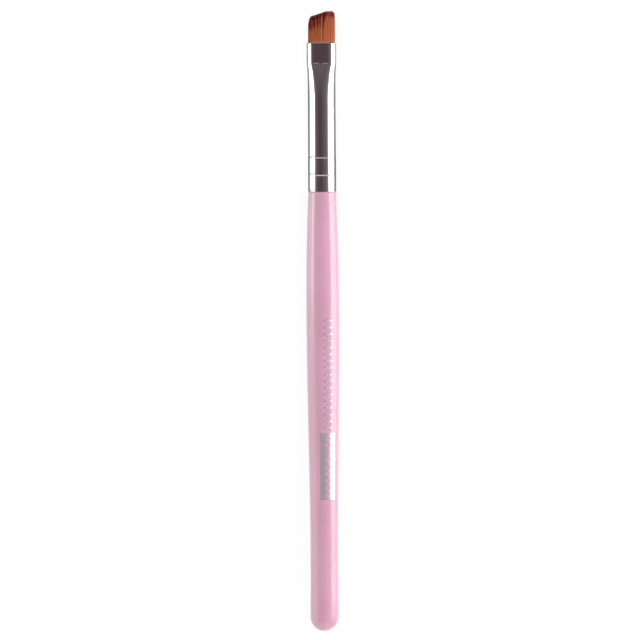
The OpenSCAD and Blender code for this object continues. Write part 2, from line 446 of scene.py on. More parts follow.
@dataclass(frozen=True)
class SilverFoil:
    """Hot-stamped silver foil, a little crinkled and worn through in places."""

    colour: Colour = (0.82, 0.68, 0.76)
    roughness: float = 0.3
    metallic: float = 0.72
    worn_colour: Colour = (0.7, 0.5, 0.58)
    worn_per_mm: float = 3.0
    grain_size: float = 0.12
    grain_depth: float = 0.004

    def material(self) -> bpy.types.Material:
        """Makes the foil's material.

        Returns:
            The material.
        """
        material, tree = new_material("silver_foil")
        place = tree.place()
        grain = tree.noise(place, 1 / self.grain_size, 3.0)
        wear_and_painted_light = tree.noise(place, self.worn_per_mm, 4.0).between(0.6, 0.72)
        finish_surface(tree, {
            "Base Color": tree.mix(wear_and_painted_light * 0.35, self.colour, self.worn_colour),
            "Metallic": self.metallic - wear_and_painted_light * 0.3,
            "Roughness": self.roughness + grain * 0.12,
            "Normal": tree.relief(grain, self.grain_depth, 0.5),
        })
        return material


@dataclass(frozen=True)
class SyntheticHair:
    """Russet synthetic hair with dark dyed tips.

    Each strand carries its own tone and its own height, from 0 at the root to 1 at the tip, and
    the height at which its dark tip begins.
    """

    pale: Colour = (0.66, 0.215, 0.095)
    deep: Colour = (0.285, 0.066, 0.024)
    tip_pale: Colour = (0.5, 0.12, 0.085)
    tip_deep: Colour = (0.12, 0.007, 0.003)
    # A greyer brown near the rim: painted shade where the hair leaves the ferrule.
    root: Colour = (0.4, 0.22, 0.165)
    roughness: float = 0.5
    specular: float = 0.05
    streaks_per_mm: float = 5.0
    streak_share: float = 0.15
    rise_shade: float = 0.12
    root_shade_share: float = 0.9
    dip_fade: tuple[float, float] = (-0.07, 0.13)

    def material(self) -> bpy.types.Material:
        """Makes the hair's material.

        Returns:
            The material.
        """
        material, tree = new_material("synthetic_hair")
        tone = tree.attribute("tone")
        rise = tree.attribute("rise")
        dip = tree.attribute("dip")
        streak = tree.noise(tree.place((1, 0.05, 1)), self.streaks_per_mm, 2.0).between(0.25, 0.75)
        shade = tone * (1 - self.streak_share) + streak * self.streak_share
        shade = shade - rise.between(0.15, 0.75) * self.rise_shade
        dark = (rise - dip).between(*self.dip_fade)
        # Painted shade near the rim: the lowest part of each strand mixes into the root colour.
        low = 1 - rise.between(0.0, 0.13)
        middle = tree.mix(shade.between(-0.35, 1.35), self.deep, self.pale)
        body = tree.mix(low * self.root_shade_share, middle, self.root)
        # Painted light: the last part of each strand is paler, towards the pale tip colour.
        wear_and_painted_light = rise.between(0.85, 1.0) * 0.15
        tip = tree.mix(shade.between(0.0, 0.6) + wear_and_painted_light, self.tip_deep, self.tip_pale)
        finish_surface(tree, {
            "Base Color": tree.mix(dark, body, tip),
            "Roughness": self.roughness + streak * 0.1,
            "Specular IOR Level": self.specular,
        })
        return material


@dataclass(frozen=True)
class CuredResin:
    """Amber glue that has set round the roots of the hair."""

    colour: Colour = (0.62, 0.43, 0.17)
    pale_colour: Colour = (0.72, 0.55, 0.28)
    roughness: float = 0.3
    clouds_per_mm: float = 0.8

    def material(self) -> bpy.types.Material:
        """Makes the resin's material.

        Returns:
            The material.
        """
        material, tree = new_material("cured_resin")
        cloud = tree.noise(tree.place(), self.clouds_per_mm, 3.0).between(0.3, 0.7)
        finish_surface(tree, {
            "Base Color": tree.mix(cloud, self.colour, self.pale_colour),
            "Roughness": self.roughness + cloud * 0.15,
            "Coat Weight": 0.4,
            "Normal": tree.relief(cloud, 0.03, 0.4),
        })
        return material


@dataclass(frozen=True)
class Layout:
    """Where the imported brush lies. The places along it are measured from the end of the butt."""

    butt_y_m: float
    axis_z_m: float
    foot: float
    rim: float
    tip: float
    tenon_end: float
    belly_r: float
    mouth_half_w: float

    @classmethod
    def read(cls) -> "Layout":
        """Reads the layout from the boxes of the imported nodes.

        Returns:
            The layout.
        """
        handle_low, handle_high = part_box(Node.HANDLE.value)
        metal_low, metal_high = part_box(Node.FERRULE.value)
        hair_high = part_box(Node.HAIR.value)[1]
        butt_y = handle_low.y
        return cls(
            butt_y_m=butt_y,
            axis_z_m=(handle_low.z + handle_high.z) / 2,
            foot=(metal_low.y - butt_y) / MM,
            rim=(metal_high.y - butt_y) / MM,
            tip=(hair_high.y - butt_y) / MM,
            tenon_end=(handle_high.y - butt_y) / MM,
            belly_r=(handle_high.z - handle_low.z) / 2 / MM,
            mouth_half_w=(metal_high.x - metal_low.x) / 2 / MM,
        )

    def point(self, across: float, along: float, up: float) -> Vector:
        """Turns a place on the brush into the row's frame, in metres."""
        return Vector((across * MM, self.butt_y_m + along * MM, self.axis_z_m + up * MM))


def add_piece(
    name: str, bm: bmesh.types.BMesh, material: bpy.types.Material, crease_deg: float,
) -> bpy.types.Object:
    """Turns a finished bmesh into a smooth-shaded object.

    Args:
        name: The object's name.
        bm: The finished bmesh, which is freed.
        material: Its material.
        crease_deg: The angle between faces above which an edge stays sharp.

    Returns:
        The new object.
    """
    mesh = bpy.data.meshes.new(name)
    bm.to_mesh(mesh)
    bm.free()
    mesh.shade_smooth()
    mesh.set_sharp_from_angle(angle=math.radians(crease_deg))
    mesh.materials.append(material)
    piece = bpy.data.objects.new(name, mesh)
    bpy.context.scene.collection.objects.link(piece)
    return piece


def hand_over(piece: bpy.types.Object, slot: Slot, *nodes: Node) -> None:
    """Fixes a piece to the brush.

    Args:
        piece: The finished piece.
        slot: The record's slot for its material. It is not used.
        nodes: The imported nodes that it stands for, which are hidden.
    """
    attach(piece, BODY)
    if nodes:
        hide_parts(*[node.value for node in nodes])
    log.info("%s: %d faces", piece.name, len(piece.data.polygons))


@dataclass
class Ferrule:
    """The drawn metal tube: skirt, two crimps, round barrel, and a mouth pressed flat."""

    layout: Layout
    barrel_r: float = 3.62
    skirt_swell: float = 0.05
    wall: float = 0.3
    edge_r: float = 0.18
    mouth_half_t: float = 2.25
    mouth_len: float = 5.4
    blend_len: float = 9.0
    flare_power: float = 5.0
    press_power: float = 1.5
    crimps: tuple[float, float] = (4.5, 9.14)
    crimp_w: float = 0.28
    crimp_depth: float = 0.06
    lip_r: float = 0.1
    ridge_height: float = 0.036
    ridge_w: float = 0.27
    ridge_rise: float = 0.22
    ridge_half_w: float = 2.45
    ridge_fades: float = 0.8
    ridge_fade_len: float = 0.6
    segments: int = 168
    edge_rings: int = 6
    lip_rings: int = 4
    crimp_rings: int = 16
    barrel_rings: int = 8
    blend_rings: int = 26
    blend_crowding: float = 1.3
    ridge_rings: int = 18
    mouth_rings: tuple[float, ...] = (0.7, 1.0, 1.8, 3.0, 4.2)

    @property
    def length(self) -> float:
        """The length of the ferrule."""
        return self.layout.rim - self.layout.foot

    @property
    def crease(self) -> float:
        """The height of the crease below the flat mouth, above the foot."""
        return self.length - self.mouth_len

    def round_r(self, height: float) -> float:
        """Gives the outer radius of the round part.

        Args:
            height: The height above the foot.

        Returns:
            The radius there.
        """
        swell = self.skirt_swell if height < self.crimps[1] else 0.0
        dips = sum(bump(height - middle, self.crimp_w) for middle in self.crimps)
        return self.barrel_r + swell - self.crimp_depth * dips

    def half_sizes(self, height: float) -> tuple[float, float]:
        """Gives the size of the outside.

        Args:
            height: The height above the foot.

        Returns:
            The half width and the half thickness there.
        """
        share = min(max((self.crease - height) / self.blend_len, 0.0), 1.0)
        if share == 1.0:
            radius = self.round_r(height)
            return radius, radius
        flare = self.layout.mouth_half_w - self.barrel_r
        press = self.barrel_r - self.mouth_half_t
        half_w = self.barrel_r + flare * (1 - share) ** self.flare_power
        half_t = self.barrel_r - press * (1 - share) ** self.press_power
        return half_w, half_t

    def heights(self) -> list[float]:
        """Gives the heights of the rings between the foot's edge and the rim's edge.

        Returns:
            The heights, from the foot up. They crowd together at the crimps and the crease.
        """
        places = {self.edge_r, self.length - self.lip_r}
        for middle in self.crimps:
            low, high = middle - self.crimp_w / 2, middle + self.crimp_w / 2
            places.update(spaced(low, high, self.crimp_rings))
        ridge_start = self.crease - self.ridge_w / 2
        ridge_end = self.crease + self.ridge_rise + self.ridge_w / 2
        places.update(spaced(ridge_start, ridge_end, self.ridge_rings))
        barrel_start = self.crimps[1] + self.crimp_w / 2
        places.update(spaced(barrel_start, self.crease - self.blend_len, self.barrel_rings))
        for ring in range(2, self.blend_rings + 1):
            share = (ring / self.blend_rings) ** self.blend_crowding
            places.add(self.crease - self.blend_len * share)
        places.update(self.crease + step for step in self.mouth_rings)
        return sorted(places)

    def section(self, half_w: float, half_t: float, angle: float) -> tuple[float, float]:
        """Gives a point of a flat-sided section with round edges.

        Args:
            half_w: The section's half width.
            half_t: Its half thickness, which is also the radius of its round edges.
            angle: The angle of the point on the round tube that was pressed flat.

        Returns:
            The place across and up.
        """
        flat = half_w - half_t
        arc = math.pi / 2 * half_t
        quarter, turn = divmod(angle, math.pi / 2)
        if quarter % 2:
            turn = math.pi / 2 - turn
        run = turn / (math.pi / 2) * (flat + arc)
        if run < arc:
            across = flat + half_t * math.cos(run / half_t)
            up = half_t * math.sin(run / half_t)
        else:
            across = flat - (run - arc)
            up = half_t
        return math.copysign(across, math.cos(angle)), math.copysign(up, math.sin(angle))

    def ridge(self, across: float, height: float) -> float:
        """Gives how far the metal stands up along the two arcs where the press ended.

        Args:
            across: The place across the flat.
            height: The height above the foot.

        Returns:
            The rise above the plain surface.
        """
        share = min(abs(across) / self.ridge_half_w, 1.0)
        line = self.crease + self.ridge_rise * (1 - (2 * share - 1) ** 2)
        beyond = max(abs(across) / self.ridge_half_w - self.ridge_fades, 0.0)
        fade = 1 - beyond / self.ridge_fade_len
        return self.ridge_height * max(fade, 0.0) * bump(height - line, self.ridge_w)

    def rings(self) -> list[tuple[float, float]]:
        """Lists the rings of the closed wall, up the outside, over the lip and down the inside.

        Returns:
            The height of each ring above the foot, and how far it stands out from the outer
            surface.
        """
        lip = self.lip_r
        edge = [
            (self.edge_r * (1 - math.cos(turn)), self.edge_r * (math.sin(turn) - 1))
            for turn in spaced(0, math.pi / 2, self.edge_rings)
        ]
        outside = [(height, 0.0) for height in self.heights()[1:]]
        outer_lip = [
            (self.length - lip + lip * math.sin(turn), lip * (math.cos(turn) - 1))
            for turn in spaced(0, math.pi / 2, self.lip_rings)[1:]
        ]
        inner_lip = [
            (self.length - lip + lip * math.cos(turn), lip * (1 - math.sin(turn)) - self.wall)
            for turn in spaced(0, math.pi / 2, self.lip_rings)
        ]
        inner = [height for height in reversed(self.heights()[:-1]) if height < self.length - 1]
        inside = [(height, -self.wall) for height in inner[::2]]
        return [*edge, *outside, *outer_lip, *inner_lip, *inside, (0.0, -self.wall)]

    def build(self, material: bpy.types.Material) -> bpy.types.Object:
        """Lofts the tube's outside and inside as one closed wall.

        Args:
            material: The metal.

        Returns:
            The ferrule.
        """
        rings = self.rings()
        bm = bmesh.new()
        bmesh.ops.create_circle(bm, segments=self.segments, radius=1.0)
        loop = list(bm.verts)
        angles = {vert: math.atan2(vert.co.y, vert.co.x) for vert in loop}
        first_edges = list(bm.edges)
        edges = first_edges
        self.set_ring(angles, rings[0])
        for ring in rings[1:]:
            grown = bmesh.ops.extrude_edge_only(bm, edges=edges)["geom"]
            edges = [part for part in grown if isinstance(part, bmesh.types.BMEdge)]
            edges = [edge for edge in edges if not any(vert in angles for vert in edge.verts)]
            angles = self.carry_angles(angles, edges)
            self.set_ring(angles, ring)
        bmesh.ops.bridge_loops(bm, edges=first_edges + edges)
        bmesh.ops.recalc_face_normals(bm, faces=bm.faces)
        ferrule = add_piece("crimped_ferrule", bm, material, 40)
        hand_over(ferrule, Slot.METAL, Node.FERRULE)
        return ferrule

    @staticmethod
    def carry_angles(old: dict, edges: list[bmesh.types.BMEdge]) -> dict:
        """Gives each vertex of a fresh ring the angle of the vertex that it grew from.

        Args:
            old: The angle of each vertex of the ring before.
            edges: The edges of the fresh ring.

        Returns:
            The angle of each vertex of the fresh ring.
        """
        new = {}
        for vert in {vert: None for edge in edges for vert in edge.verts}:
            joined = (edge.other_vert(vert) for edge in vert.link_edges)
            new[vert] = old[next(other for other in joined if other in old)]
        return new

    def set_ring(self, angles: dict, ring: tuple[float, float]) -> None:
        """Moves one ring of vertices to its place.

        Args:
            angles: The angle of each of its vertices.
            ring: Its height, and how far it stands out from the outer surface.
        """
        height, out = ring
        half_w, half_t = self.half_sizes(height)
        for vert, angle in angles.items():
            across, up = self.section(half_w + out, half_t + out, angle)
            if out == 0.0:
                up += math.copysign(self.ridge(across, height), up)
            vert.co = self.layout.point(across, self.layout.foot + height, up)


@dataclass
class Handle:
    """The turned and lacquered handle, with its butt, waist, belly, neck and tenon."""

    layout: Layout
    ferrule: Ferrule
    butt_r: float = 3.78
    waist_r: float = 3.69
    waist_at: float = 19.5
    belly_below: float = 33.3
    neck_r: float = 3.73
    neck_power: float = 2.3
    bead_len: float = 0.9
    bead_draw: float = 0.18
    tenon_gap: float = 0.03
    tenon_chamfer: float = 0.6
    segments: int = 144
    butt_rings: int = 22
    bead_rings: int = 10
    step: float = 0.9

    @property
    def neck_at(self) -> float:
        """The place of the neck, where the bead of lacquer begins."""
        return self.layout.foot - self.bead_len

    def radius(self, along: float) -> float:
        """Gives the radius of the lacquered part.

        Args:
            along: The place along the brush.

        Returns:
            The radius there.
        """
        belly_at = self.layout.foot - self.belly_below
        belly_r = self.layout.belly_r
        if along < self.butt_r:
            return math.sqrt(max(self.butt_r**2 - (self.butt_r - along) ** 2, 0.0))
        if along < self.waist_at:
            share = (along - self.butt_r) / (self.waist_at - self.butt_r)
            return ease(self.butt_r, self.waist_r, share)
        if along < belly_at:
            share = (along - self.waist_at) / (belly_at - self.waist_at)
            return ease(self.waist_r, belly_r, share)
        share = ((along - belly_at) / (self.neck_at - belly_at)) ** self.neck_power
        return belly_r - (belly_r - self.neck_r) * share

    def tenon(self) -> list[tuple[float, float]]:
        """Gives the outline of the tenon, which follows the inside of the ferrule.

        Returns:
            The places along the brush and the radii, from the ferrule's foot to the pole.
        """
        inset = self.ferrule.wall + self.tenon_gap
        straight = self.layout.tenon_end - self.layout.foot - self.tenon_chamfer
        heights = [0.0, *[height for height in self.ferrule.heights() if height < straight]]
        sides = [
            (self.layout.foot + height, self.ferrule.round_r(height) - inset) for height in heights
        ]
        end_r = sides[-1][1] - self.tenon_chamfer
        return [*sides, (self.layout.tenon_end, end_r), (self.layout.tenon_end, 0.0)]

    def profile(self) -> list[tuple[float, float]]:
        """Gives the handle's outline.

        Returns:
            The places along the brush and the radii, from pole to pole.
        """
        butt = [
            (self.butt_r * (1 - math.cos(turn)), self.butt_r * math.sin(turn))
            for turn in spaced(0, math.pi / 2, self.butt_rings)
        ]
        steps = round((self.neck_at - self.butt_r) / self.step)
        places = spaced(self.butt_r, self.neck_at, steps)[1:]
        body = [(along, self.radius(along)) for along in places]
        bead = [
            (
                self.neck_at + self.bead_len * math.sin(turn),
                self.neck_r - self.bead_draw * (1 - math.cos(turn)),
            )
            for turn in spaced(0, math.pi / 2, self.bead_rings)[1:]
        ]
        return [*butt, *body, *bead, *self.tenon()]

    def build(self, material: bpy.types.Material) -> bpy.types.Object:
        """Turns the outline about the brush's axis.

        Args:
            material: The lacquer.

        Returns:
            The handle.
        """
        bm = bmesh.new()
        outline = [self.layout.point(radius, along, 0.0) for along, radius in self.profile()]
        verts = [bm.verts.new(point) for point in outline]
        edges = [bm.edges.new(pair) for pair in zip(verts, verts[1:])]
        centre = self.layout.point(0.0, 0.0, 0.0)
        bmesh.ops.spin(
            bm, geom=verts + edges, cent=centre, axis=(0.0, 1.0, 0.0), angle=FULL_TURN,
            steps=self.segments, use_merge=True,
        )
        bmesh.ops.remove_doubles(bm, verts=bm.verts, dist=1e-7)
        bmesh.ops.recalc_face_normals(bm, faces=bm.faces)
        handle = add_piece("lacquered_handle", bm, material, 50)
        hand_over(handle, Slot.LACQUER, Node.HANDLE)
        return handle


@dataclass
class FoilPrint:
    """The foil on the handle: a plain panel, and a chain of small open lozenges above it."""

    layout: Layout
    handle: Handle
    turn_deg: float = 22.5
    panel_from: float = 35.4
    panel_to: float = 53.2
    panel_half_w: float = 2.06
    panel_grid: tuple[int, int] = (14, 40)
    chain_from: float = 54.6
    chain_to: float = 83.0
    lozenge_count: int = 17
    lozenge_half_w: float = 1.36
    lozenge_half_l: float = 0.88
    stroke: float = 0.42
    knockout_count: int = 9
    knockout_margin: float = 1.5
    knockout_half_w: float = 0.8
    knockout_half_l: float = 0.7
    knockout_stroke: float = 0.24
    lift: float = 0.006
    thickness: float = 0.01

    def hug(self, bm: bmesh.types.BMesh, lift: float) -> None:
        """Bends flat work round the handle.

        Args:
            bm: The flat work; its x is the arc from the print's middle, and its y is along.
            lift: How far its underside stands off the lacquer.
        """
        middle = math.radians(self.turn_deg)
        for vert in bm.verts:
            arc, along = vert.co.x, vert.co.y
            radius = self.handle.radius(along)
            angle = middle + arc / radius
            reach = radius + lift + vert.co.z
            vert.co = self.layout.point(reach * math.sin(angle), along, reach * math.cos(angle))

    def panel(self, material: bpy.types.Material) -> bpy.types.Object:
        """Makes the plain panel.

        Args:
            material: The foil.

        Returns:
            The panel.
        """
        bm = bmesh.new()
        across, along = self.panel_grid
        bmesh.ops.create_grid(bm, x_segments=across, y_segments=along, size=1.0)
        half_len = (self.panel_to - self.panel_from) / 2
        middle = (self.panel_to + self.panel_from) / 2
        bmesh.ops.scale(bm, vec=(self.panel_half_w, half_len, 1.0), verts=bm.verts)
        bmesh.ops.translate(bm, vec=(0.0, middle, 0.0), verts=bm.verts)
        return self.stamp("foil_panel", bm, self.lift, material)

    def chain(self, material: bpy.types.Material) -> bpy.types.Object:
        """Makes the chain of open lozenges.

        Args:
            material: The foil.

        Returns:
            The chain.
        """
        bm = bmesh.new()
        for along in spaced(self.chain_from, self.chain_to, self.lozenge_count - 1):
            self.lozenge(bm, along, self.lozenge_half_w, self.lozenge_half_l, self.stroke)
        return self.stamp("foil_lozenges", bm, self.lift, material)

    def knockouts(self, material: bpy.types.Material) -> bpy.types.Object:
        """Makes the open lozenges of bare lacquer that show through the panel.

        Args:
            material: The lacquer.

        Returns:
            The lozenges.
        """
        bm = bmesh.new()
        first = self.panel_from + self.knockout_margin
        last = self.panel_to - self.knockout_margin
        for along in spaced(first, last, self.knockout_count - 1):
            self.lozenge(bm, along, self.knockout_half_w, self.knockout_half_l, self.knockout_stroke)
        return self.stamp("lacquer_lozenges", bm, self.lift + self.thickness, material)

    @staticmethod
    def lozenge(
        bm: bmesh.types.BMesh, along: float, half_w: float, half_l: float, stroke: float,
    ) -> None:
        """Adds one open lozenge, drawn flat and ready to be bent round the handle.

        Args:
            bm: The flat work that it joins.
            along: The place of its middle.
            half_w: Its half width.
            half_l: Its half length.
            stroke: The width of its line.
        """
        verts = bmesh.ops.create_circle(bm, cap_ends=True, segments=4, radius=1.0)["verts"]
        face = next(iter(verts[0].link_faces))
        bmesh.ops.scale(bm, vec=(half_w, half_l, 1.0), verts=verts)
        bmesh.ops.translate(bm, vec=(0.0, along, 0.0), verts=verts)
        bmesh.ops.inset_region(
            bm, faces=[face], thickness=stroke, use_boundary=True, use_even_offset=True,
        )
        rim_edges = {edge for vert in verts for edge in vert.link_edges}
        bmesh.ops.delete(bm, geom=[face], context="FACES_ONLY")
        rim_edges = [edge for edge in rim_edges if edge.is_valid]
        bmesh.ops.subdivide_edges(bm, edges=rim_edges, cuts=1, use_grid_fill=True)

    def stamp(
        self, name: str, bm: bmesh.types.BMesh, lift: float, material: bpy.types.Material,
    ) -> bpy.types.Object:
        """Gives flat work its thickness, bends it round the handle and dresses it.

        Args:
            name: The piece's name.
            bm: The flat work.
            lift: How far its underside stands off the lacquer.
            material: Its material.

        Returns:
            The finished piece.
        """
        bmesh.ops.recalc_face_normals(bm, faces=bm.faces)
        bmesh.ops.solidify(bm, geom=bm.faces[:], thickness=self.thickness)
        low = min(vert.co.z for vert in bm.verts)
        for vert in bm.verts:
            vert.co.z -= low
        self.hug(bm, lift)
        bmesh.ops.recalc_face_normals(bm, faces=bm.faces)
        piece = add_piece(name, bm, material, 30)
        hand_over(piece, Slot.METAL)
        return piece


@dataclass(frozen=True)
class Clump:
    """A few strands that lean together, with its middle and its own three random shares."""

    middle_u: float
    middle_v: float
    tone: float
    short: float
    dip: float


@dataclass(frozen=True)
class Strand:
    """One strand, from its place in the bundle to the height at which its dark tip begins."""

    clump: Clump
    u: float
    v: float
    top: float
    tone: float
    dip: float
    spin: float
    sway_u: float
    sway_v: float


@dataclass
class Tuft:
    """The angled tuft of synthetic hair, strand by strand.

    Places in the bundle are u across the flat and v through the thickness, each from -1 to 1. The
    locks give the tone at some places across; it is partly the hair's own tone and partly painted
    light and shade, paler towards the tall side where the lamps fall and darker in stripes that stand
    partly for shade between clumps. A dark tip begins at the share dip_at of a strand's height, higher
    towards the tall side and in the paler locks.
    """

    layout: Layout
    ferrule: Ferrule
    gap: float = 0.03
    set_over: float = 0.08
    swell: float = 0.16
    swell_len: float = 0.8
    cut_deg: float = 17.4
    cut_from: float = 0.4
    below_peak: float = 0.34
    corner_w: float = 0.75
    corner_drop: float = 0.6
    side_draw: float = 0.34
    tall_side_draw: float = 0.06
    draw_power: float = 8.0
    edge_half_t: float = 0.62
    taper_power: float = 1.8
    root: float = 1.2
    count: int = 5200
    flatness: float = 1.9
    strand_r: float = 0.052
    strand_taper: float = 0.7
    levels: int = 6
    sway_u: float = 0.006
    sway_v: float = 0.015
    lock_share: float = 0.8
    clump_share: float = 0.1
    dip_at: float = 0.65
    dip_climb: float = 0.36
    dip_climb_to: float = 0.5
    dip_by_clump: float = 0.08
    dip_by_lock: float = 0.3
    dip_lock_tone: float = 0.4
    dip_most: float = 0.9
    # Tones across the hair: partly the hair's own, partly painted light on the tall side and painted
    # shade in the dark stripes.
    locks: tuple[tuple[float, float], ...] = (
        (-1.0, 0.1), (-0.86, 0.45), (-0.72, -0.1), (-0.52, 0.5), (-0.36, -0.2), (-0.22, 0.5),
        (-0.09, -0.2), (0.1, 1.1), (0.24, -0.8), (0.4, 0.4), (0.5, 0.1), (0.65, 1.1),
        (0.76, 0.3), (0.84, 0.6), (0.92, 0.4), (1.0, 0.7),
    )
    clumps_across: int = 12
    clump_rows: int = 6
    row_shift: float = 0.04
    gather: float = 0.05
    gather_power: float = 1.5
    shortest: float = 0.36
    short_by_clump: float = 0.4
    crown: float = 0.3
    seed: int = 5

    @property
    def half_w(self) -> float:
        """The half width of the hair where it leaves the mouth."""
        return self.layout.mouth_half_w - self.ferrule.wall - self.gap

    @property
    def half_t(self) -> float:
        """The half thickness of the hair where it leaves the mouth."""
        return self.ferrule.mouth_half_t - self.ferrule.wall - self.gap

    def cut_height(self, u: float) -> float:
        """Gives the height of the slanted cut.

        Args:
            u: The place across the flat, from -1 on the short side to 1.

        Returns:
            The height above the rim.
        """
        corner = 1 - self.corner_w / self.half_w
        slope = math.tan(math.radians(self.cut_deg))
        tallest = self.layout.tip - self.layout.rim - self.below_peak
        height = tallest - max(self.cut_from - u, 0.0) * self.half_w * slope
        return height - self.corner_drop * (max(abs(u) - corner, 0.0) / (1 - corner)) ** 2

    def centre(self, u: float, v: float, height: float) -> tuple[float, float, float]:
        """Gives a point of the tuft's bundle.

        Args:
            u: The place across the flat, from -1 to 1.
            v: The place through the thickness, from -1 to 1.
            height: The height above the rim, negative inside the ferrule.

        Returns:
            The place across, along and up.
        """
        share = max(height, 0.0) / self.cut_height(u)
        free = min(max(height, 0.0) / self.swell_len, 1.0)
        draw = self.side_draw if u < 0 else self.tall_side_draw
        drawn = self.half_w - draw * share**self.draw_power * u**4
        taper = (self.half_t - self.edge_half_t) * share**self.taper_power
        thinned = self.half_t + self.swell * free - taper
        rounded = drawn - thinned * (1 - math.sqrt(max(1 - v * v, 0.0)))
        return rounded * u + self.set_over * free, self.layout.rim + height, thinned * v

    def plain_strand(self) -> bpy.types.Mesh:
        """Makes one straight three-sided strand.

        Returns:
            The strand, of unit radius and with its levels one unit apart.
        """
        bm = bmesh.new()
        bmesh.ops.create_circle(bm, cap_ends=True, segments=3, radius=1.0)
        edges = list(bm.edges)
        for _ in range(self.levels):
            old = set(bm.verts)
            grown = bmesh.ops.extrude_edge_only(bm, edges=edges)["geom"]
            new = [part for part in grown if isinstance(part, bmesh.types.BMVert)]
            edges = [edge for edge in bm.edges if not any(vert in old for vert in edge.verts)]
            bmesh.ops.translate(bm, vec=(0.0, 0.0, 1.0), verts=new)
        bmesh.ops.pointmerge(bm, verts=new, merge_co=(0.0, 0.0, float(self.levels)))
        bmesh.ops.recalc_face_normals(bm, faces=bm.faces)
        mesh = bpy.data.meshes.new("strand")
        bm.to_mesh(mesh)
        bm.free()
        return mesh

    def repeat(self, strand: bpy.types.Mesh) -> bpy.types.Mesh:
        """Copies the plain strand once for each hair.

        Args:
            strand: The plain strand.

        Returns:
            One mesh with all the copies, one after another.
        """
        stamp = bpy.data.objects.new("strand", strand)
        bpy.context.scene.collection.objects.link(stamp)
        array = stamp.modifiers.new("copies", "ARRAY")
        array.count = self.count
        array.use_relative_offset = False
        array.use_constant_offset = True
        array.constant_offset_displace = (3.0, 0.0, 0.0)
        shaped = stamp.evaluated_get(bpy.context.evaluated_depsgraph_get())
        mesh = bpy.data.meshes.new_from_object(shaped)
        bpy.data.objects.remove(stamp)
        return mesh

    def seeds(self, rng: random.Random) -> list[tuple[float, float]]:
        """Scatters the strands evenly over the bundle, in a jittered grid.

        Args:
            rng: The source of the random draws.

        Returns:
            The u and v of each strand, in a random order.
        """
        columns = round(math.sqrt(self.count * self.flatness))
        rows = math.ceil(self.count / columns)
        spots = []
        for row in range(rows):
            for column in range(columns):
                u = 2 * (column + rng.random()) / columns - 1
                v = 2 * (row + rng.random()) / rows - 1
                spots.append((u, v))
        rng.shuffle(spots)
        return spots[: self.count]

    def lock_tone(self, u: float) -> float:
        """Gives the tone of the lock at a place across the flat.

        Args:
            u: The place across the flat.

        Returns:
            The tone, about 0 for a deep lock and 1 for a pale one.
        """
        for (start, low), (end, high) in zip(self.locks, self.locks[1:]):
            if u <= end:
                return low + (high - low) * (u - start) / (end - start)
        return self.locks[-1][1]

    def clump(
        self, u: float, v: float, clumps: dict[tuple[int, int], Clump], rng: random.Random,
    ) -> Clump:
        """Finds or starts the clump that a strand belongs to.

        Args:
            u: The strand's place across the flat.
            v: Its place through the thickness.
            clumps: The clumps so far, by row and column, which a new one joins.
            rng: The source of the random draws.

        Returns:
            The clump.
        """
        row = min(int((v + 1) / 2 * self.clump_rows), self.clump_rows - 1)
        shift = self.row_shift * row
        column = math.floor((u + 1) / 2 * self.clumps_across + shift)
        if (row, column) not in clumps:
            middle_u = 2 * (column + 0.5 - shift) / self.clumps_across - 1
            middle_v = 2 * (row + 0.5) / self.clump_rows - 1
            middle_u = min(max(middle_u, -0.99), 0.99)
            clumps[row, column] = Clump(middle_u, middle_v, rng.random(), rng.random(), rng.random())
        return clumps[row, column]

    def grow(self, u: float, v: float, clump: Clump, rng: random.Random) -> Strand:
        """Gives a strand its length, its lean and its tones.

        Args:
            u: Its place across the flat.
            v: Its place through the thickness.
            clump: The clump that it belongs to.
            rng: The source of the random draws.

        Returns:
            The strand.
        """
        lock = self.lock_tone(u)
        tone = self.clump_share * clump.tone + self.clump_share * rng.random() + self.lock_share * lock
        ragged = self.short_by_clump * clump.short + (1 - self.short_by_clump) * rng.random() ** 2
        short = self.shortest * ragged + self.crown * v * v
        climb = self.dip_climb * min(max(u, 0.0), self.dip_climb_to)
        dip = self.dip_at + climb + self.dip_by_clump * (clump.dip - 0.5)
        dip += self.dip_by_lock * (min(lock, 1) - self.dip_lock_tone)
        return Strand(
            clump=clump,
            u=u,
            v=v,
            top=self.cut_height(u) - short,
            tone=tone,
            dip=min(dip, self.dip_most),
            spin=rng.random() * FULL_TURN,
            sway_u=rng.gauss(0.0, self.sway_u),
            sway_v=rng.gauss(0.0, self.sway_v),
        )

    def bend(self, strand: Strand, corner: Vector) -> tuple[Vector, float]:
        """Lays one point of the plain strand where the strand's own lean takes it.

        Args:
            strand: The strand.
            corner: The point on the plain strand.

        Returns:
            The point's place in the frame, and its share of the strand's height above the rim.
        """
        share = corner.z / self.levels
        height = -self.root + (strand.top + self.root) * share
        above = max(height, 0.0) / strand.top
        pull = self.gather * above**self.gather_power
        at_u = strand.u + (strand.clump.middle_u - strand.u) * pull + strand.sway_u * above
        at_v = strand.v + (strand.clump.middle_v - strand.v) * pull + strand.sway_v * above
        across, along, up = self.centre(at_u, min(max(at_v, -1.0), 1.0), height)
        on_axis = not (corner.x or corner.y)
        reach = 0.0 if on_axis else self.strand_r * (1 - self.strand_taper * share**4)
        angle = math.atan2(corner.y, corner.x) + strand.spin
        across += reach * math.cos(angle)
        up += reach * math.sin(angle)
        return self.layout.point(across, along, up), above

